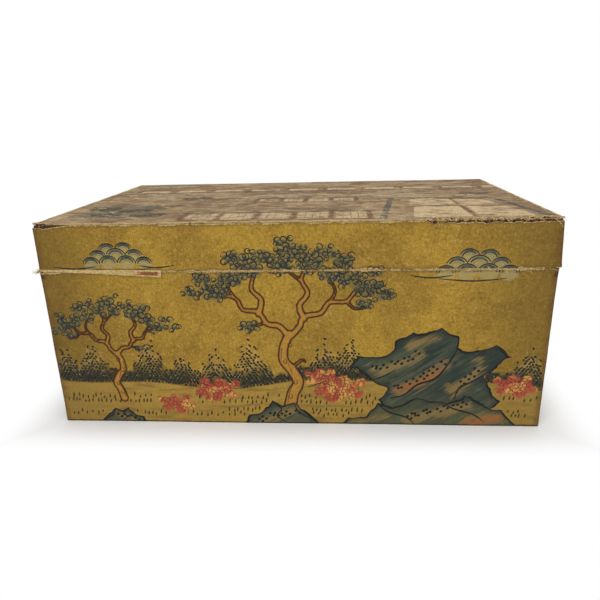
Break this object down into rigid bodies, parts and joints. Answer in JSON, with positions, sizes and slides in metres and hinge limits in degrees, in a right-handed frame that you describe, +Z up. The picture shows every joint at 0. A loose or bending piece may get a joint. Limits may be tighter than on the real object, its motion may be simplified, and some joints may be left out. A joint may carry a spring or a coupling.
{
  "type": "leather chest",
  "caption": "Low rectangular chest of boards covered in painted hide, with a shallow lift-off lid located by an inner lip.",
  "frame": {"origin": "middle of the underside, where the chest rests", "axes": "+X along the chest, to the right as its painted front is seen, +Z up, and the front faces -Y"},
  "size_m": [0.6, 0.376, 0.258],
  "materials": {
    "painted_hide": "worn semi-matt painted and lacquered hide",
    "plain_hide": "bare rubbed hide",
    "board_wood": "planed unvarnished softwood",
    "lip_wood": "rubbed softwood",
    "bamboo": "split bamboo",
    "lining_paper": "aged pasted paper"
  },
  "bodies": {
    "tray": {"lip_pins": "bamboo", "lip_strip_back": "lip_wood", "lip_strip_front": "lip_wood", "lip_strip_left": "lip_wood", "lip_strip_right": "lip_wood", "tray_back_board": "board_wood", "tray_back_hide": "painted_hide", "tray_back_paper": "lining_paper", "tray_bottom_pegs": "bamboo", "tray_bottom_plank_back": "board_wood", "tray_bottom_plank_front": "board_wood", "tray_corner_pegs": "bamboo", "tray_floor_paper": "lining_paper", "tray_front_board": "board_wood", "tray_front_hide": "painted_hide", "tray_front_paper": "lining_paper", "tray_left_board": "board_wood", "tray_left_hide": "painted_hide", "tray_left_paper": "lining_paper", "tray_plank_pins": "bamboo", "tray_right_board": "board_wood", "tray_right_hide": "painted_hide", "tray_right_paper": "lining_paper", "tray_underside_hide": "plain_hide"},
    "lid": {"lid_back_board": "board_wood", "lid_back_hide": "painted_hide", "lid_back_paper": "lining_paper", "lid_ceiling_paper": "lining_paper", "lid_corner_pegs": "bamboo", "lid_front_board": "board_wood", "lid_front_hide": "painted_hide", "lid_front_paper": "lining_paper", "lid_left_board": "board_wood", "lid_left_hide": "painted_hide", "lid_left_paper": "lining_paper", "lid_plank_pins": "bamboo", "lid_right_board": "board_wood", "lid_right_hide": "painted_hide", "lid_right_paper": "lining_paper", "lid_top_hide": "painted_hide", "lid_top_pegs": "bamboo", "lid_top_plank_back": "board_wood", "lid_top_plank_front": "board_wood"}
  },
  "joints": [
    {"name": "lid_lift", "type": "slide", "parent": "tray", "child": "lid", "axis": [0, 0, 1], "range_m": [0, 0.25]}
  ]
}
